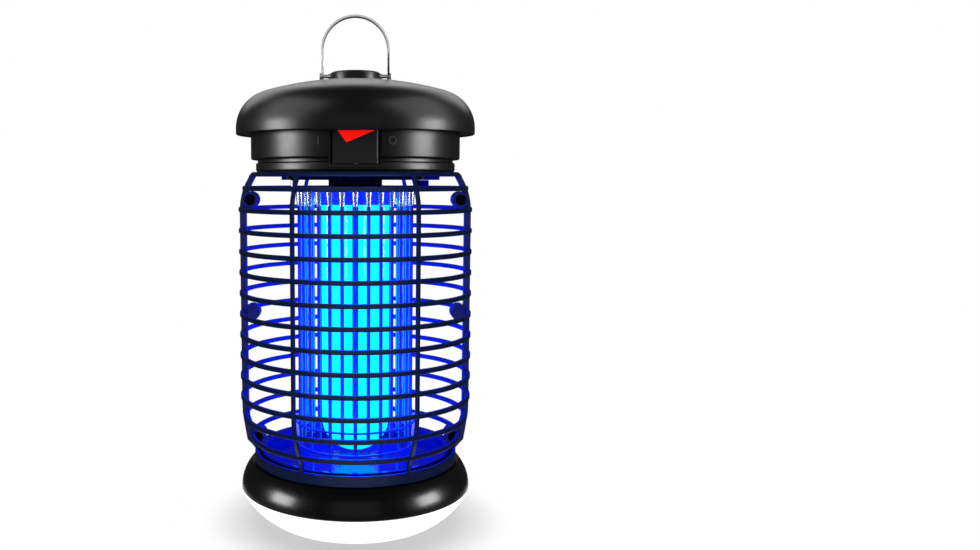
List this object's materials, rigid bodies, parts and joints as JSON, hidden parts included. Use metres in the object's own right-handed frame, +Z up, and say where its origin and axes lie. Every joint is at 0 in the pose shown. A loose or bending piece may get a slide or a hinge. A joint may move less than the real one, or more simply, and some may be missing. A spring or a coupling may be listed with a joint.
{
  "type": "electric bug zapper",
  "caption": "Hanging electric insect killer: domed cap with bail, rocker switch, slatted cage round a wire grid and U lamp, twist-off tray base with night light.",
  "frame": {"origin": "centre of the flat foot of the diffuser, on the ground", "axes": "+Z up along the lamp, -Y towards the side with the switch, +X to the right of a person who faces the switch"},
  "size_m": [0.1384, 0.1384, 0.2974],
  "materials": {
    "stainless_steel": "brushed, satin",
    "zinc_steel": "zinc plated",
    "black_screw": "black oxide",
    "black_plastic": "moulded ABS, satin gloss",
    "seal_rubber": "moulded silicone",
    "switch_black": "fine spark texture",
    "indicator_red": "moulded red, glossy",
    "mark_plastic": "moulded marks",
    "nylon_black": "moulded nylon",
    "circuit_board": "solder mask",
    "ferrite": "sintered",
    "copper_winding": "enamelled wire",
    "capacitor_film": "dipped resin",
    "terminal_plastic": "polyamide",
    "blue_plastic": "moulded ABS",
    "dark_plastic": "moulded",
    "brass": "nickel free brass",
    "lamp_base_white": "moulded PBT",
    "lamp_glass": "phosphor coated ultraviolet tube, lit",
    "grid_wire": "drawn steel wire, plated",
    "ferrule_metal": "turned",
    "spacer_ceramic": "glazed steatite",
    "cage_plastic": "moulded ABS, dark blue, satin",
    "lead_pvc": "PVC sheath",
    "tray_plastic": "moulded, polished",
    "led_board_metal": "white solder mask",
    "led_phosphor": "silicone over phosphor",
    "opal_diffuser": "opal polycarbonate, lit"
  },
  "bodies": {
    "housing": {"bail_pins": "stainless_steel", "bail_hub": "black_plastic", "hub_screw": "zinc_steel", "top_cap": "black_plastic", "cap_seal": "seal_rubber", "cap_screws": "zinc_steel", "neck_housing": "black_plastic", "switch_body": "switch_black", "switch_terminals": "brass", "rocker_pivot": "stainless_steel", "switch_marks": "mark_plastic", "cord_gland": "nylon_black", "gland_nut": "nylon_black", "driver_board": "circuit_board", "board_screws": "zinc_steel", "choke_core": "ferrite", "choke_winding": "copper_winding", "film_capacitors": "capacitor_film", "terminal_block": "terminal_plastic", "wiring_cover": "blue_plastic", "hv_terminal": "dark_plastic", "lamp_socket": "blue_plastic", "socket_screws": "zinc_steel", "socket_contacts": "brass", "lamp_base": "lamp_base_white", "lamp_pins": "brass", "lamp_tube": "lamp_glass", "upper_insulator": "blue_plastic", "insulator_pillars": "zinc_steel", "grid_live": "grid_wire", "grid_neutral": "grid_wire", "wire_ferrules": "ferrule_metal", "grid_spacers": "spacer_ceramic", "cage_front": "cage_plastic", "cage_rear": "cage_plastic", "cage_screws": "black_screw", "neck_screws": "black_screw", "led_lead": "lead_pvc", "spring_contacts": "brass"},
    "bail": {"hanging_bail": "stainless_steel"},
    "rocker": {"switch_rocker": "switch_black", "rocker_indicator": "indicator_red"},
    "base": {"base_shell": "black_plastic", "insect_tray": "tray_plastic", "contact_pads": "brass", "led_board": "led_board_metal", "led_chips": "led_phosphor", "base_screws": "zinc_steel", "diffuser_seal": "seal_rubber", "diffuser": "opal_diffuser"}
  },
  "joints": [
    {"name": "bail_swing", "type": "hinge", "parent": "housing", "child": "bail", "pos_m": [0, 0, 0.2627], "axis": [1, 0, 0], "range_deg": [-90, 90]},
    {"name": "switch_rock", "type": "hinge", "parent": "housing", "child": "rocker", "pos_m": [0, -0.056, 0.2203], "axis": [0, 0, 1], "range_deg": [0, 14]},
    {"name": "base_twist", "type": "hinge", "parent": "housing", "child": "base", "pos_m": [0, 0, 0.04], "axis": [0, 0, 1], "range_deg": [0, 22]}
  ]
}
